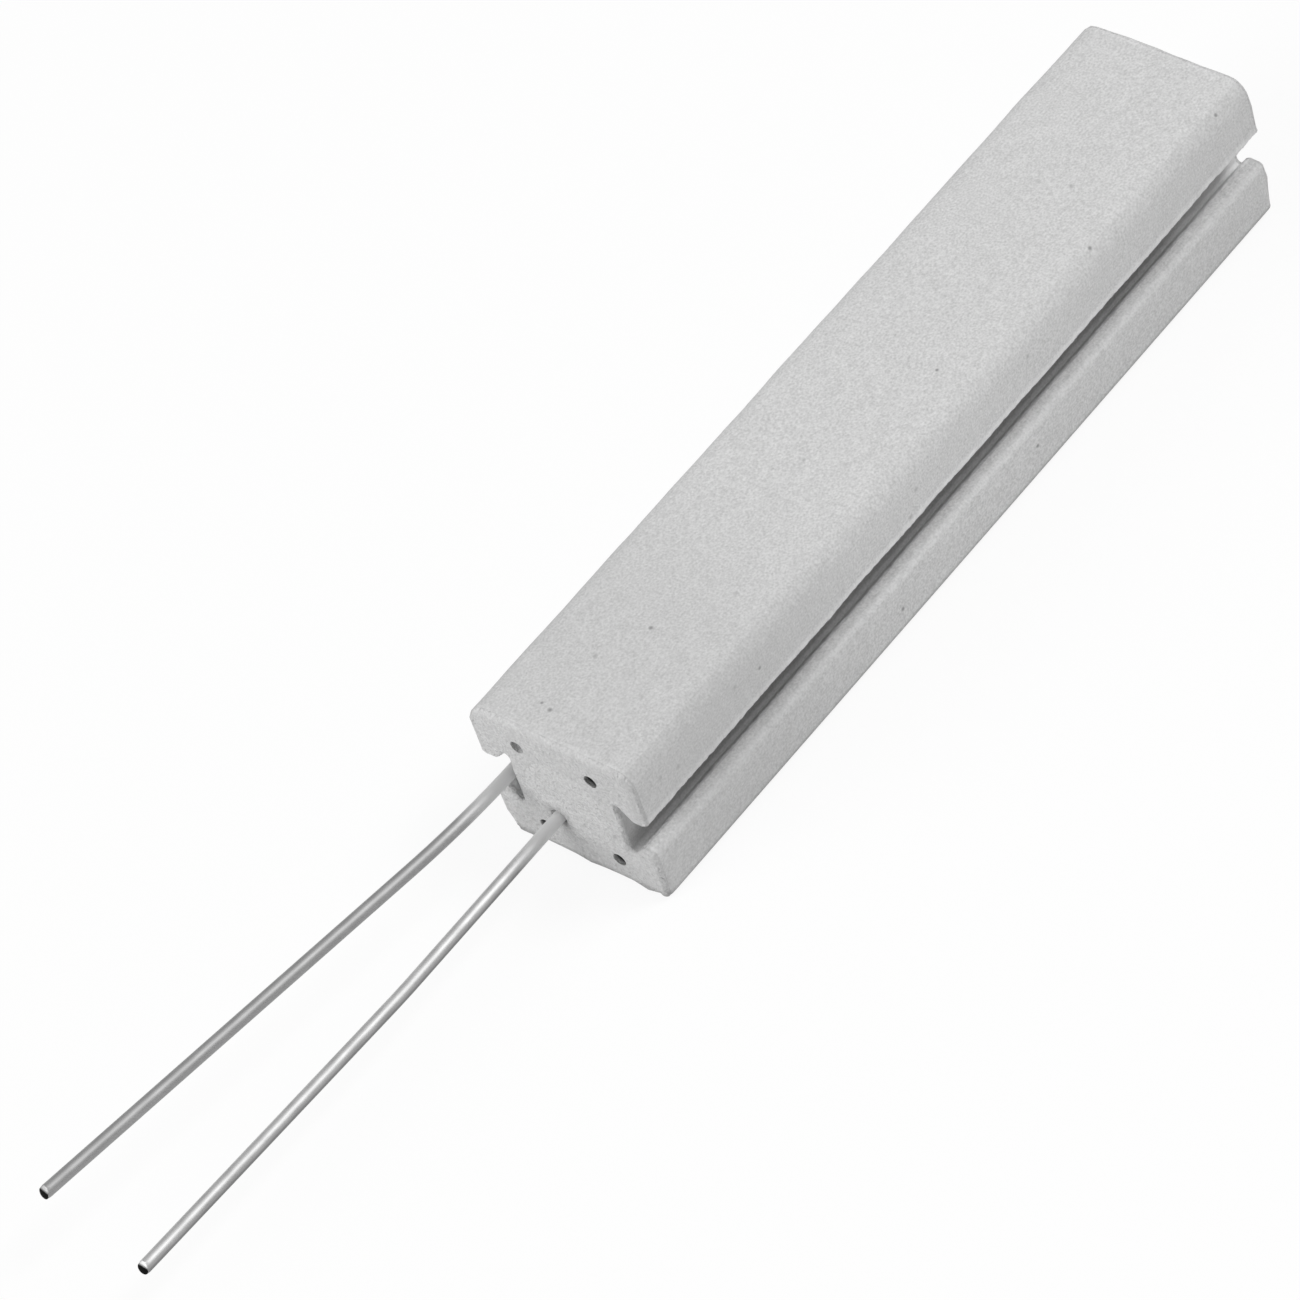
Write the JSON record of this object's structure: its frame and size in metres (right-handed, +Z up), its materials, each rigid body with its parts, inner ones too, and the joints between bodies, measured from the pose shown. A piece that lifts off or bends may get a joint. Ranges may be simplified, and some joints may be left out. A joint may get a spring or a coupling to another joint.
{
  "type": "power resistor",
  "caption": "Wirewound power resistor: a bare H-section ceramic case with grooved sides, small end holes and two tinned wire leads at one end.",
  "frame": {"origin": "middle of the flat base that the case lies on", "axes": "+X along the case from the lead end to the far end, +Y to the side whose groove holds the return lead, +Z up from the base"},
  "size_m": [0.1013, 0.0165, 0.0115],
  "materials": {
    "case_ceramic": "matte",
    "cement": "matte",
    "glass_fibre": "satin",
    "resistance_alloy": "satin",
    "cap_metal": "satin",
    "tinned_wire": "satin"
  },
  "bodies": {
    "root": {"ceramic_case": "case_ceramic", "cement_filling": "cement", "core_rod": "glass_fibre", "resistance_wire": "resistance_alloy", "near_end_cap": "cap_metal", "far_end_cap": "cap_metal", "element_lead": "tinned_wire", "return_lead": "tinned_wire"}
  },
  "joints": []
}
